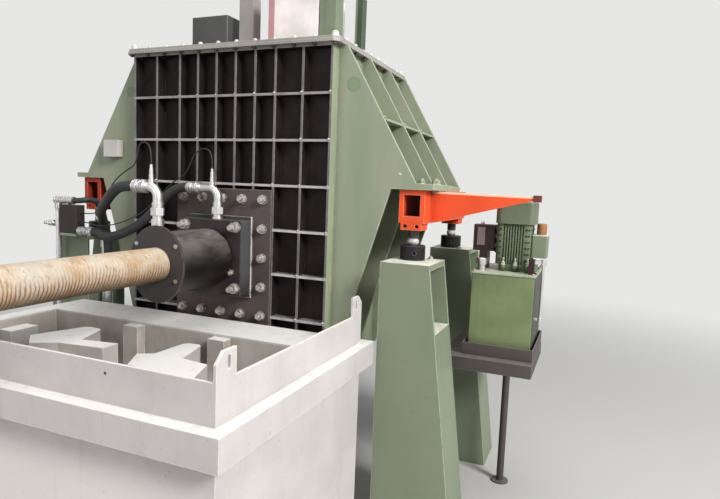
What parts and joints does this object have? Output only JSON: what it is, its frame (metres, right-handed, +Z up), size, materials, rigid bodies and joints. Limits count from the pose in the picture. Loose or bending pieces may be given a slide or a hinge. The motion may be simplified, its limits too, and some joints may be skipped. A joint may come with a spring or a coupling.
{
  "type": "bar casting line",
  "caption": "Horizontal casting furnace on jacked pedestals, with water-cooled mould, cast bar, water box under the bar and a hydraulic oil unit.",
  "frame": {"origin": "on the floor, under the middle of the whole plant's outline", "axes": "+Z up, +X to the right of someone who faces the front wall, the bar leaves towards -Y"},
  "size_m": [2.847, 2.416, 2.538],
  "materials": {
    "sage_paint": "semi_gloss",
    "oil_green_paint": "satin",
    "soot_paint": "matte",
    "orange_paint": "satin",
    "dark_red_paint": "matte",
    "box_paint": "matte",
    "shelf_paint": "matte",
    "lid_paint": "matte",
    "bright_fitting": "satin",
    "chrome": "gloss",
    "black_steel": "matte",
    "bar_metal": "matte",
    "rubber": "matte",
    "grey_box": "matte",
    "amber_paint": "satin"
  },
  "bodies": {
    "root": {"furnace_casing": "soot_paint", "wall_ribs": "soot_paint", "side_gussets": "sage_paint", "gusset_shelves": "sage_paint", "ledge_plates": "sage_paint", "top_flange": "lid_paint", "furnace_lid": "lid_paint", "charging_box": "lid_paint", "lid_drive_box": "grey_box", "lid_posts": "grey_box", "mould_flange": "soot_paint", "mould_adapter": "grey_box", "mould_block": "black_steel", "mould_cooler": "black_steel", "cooler_disc": "black_steel", "cast_bar": "bar_metal", "water_elbows": "bright_fitting", "hose_ferrules": "bright_fitting", "water_probes": "bright_fitting", "jacking_beams": "orange_paint", "jack_screws": "chrome", "jack_bodies": "black_steel", "pedestals": "sage_paint", "support_arm": "orange_paint", "arm_end_cap": "dark_red_paint", "oil_shelf": "shelf_paint", "shelf_leg": "shelf_paint", "drip_tray": "shelf_paint", "oil_tank": "oil_green_paint", "tank_lid": "oil_green_paint", "oil_motor": "oil_green_paint", "motor_cowl": "oil_green_paint", "terminal_box": "oil_green_paint", "filler_cap": "chrome", "valve_block": "black_steel", "terminal_cap": "amber_paint", "valve_fittings": "bright_fitting", "oil_level_pipe": "bright_fitting", "water_box": "box_paint", "well_brackets": "box_paint", "water_manifold": "grey_box", "manifold_seat": "sage_paint", "water_couplings": "bright_fitting", "standpipes": "bright_fitting", "junction_box": "lid_paint", "front_hose": "rubber", "rear_hose": "rubber", "bypass_hose": "rubber", "front_probe_wire": "rubber", "rear_probe_wire": "rubber"}
  },
  "joints": []
}
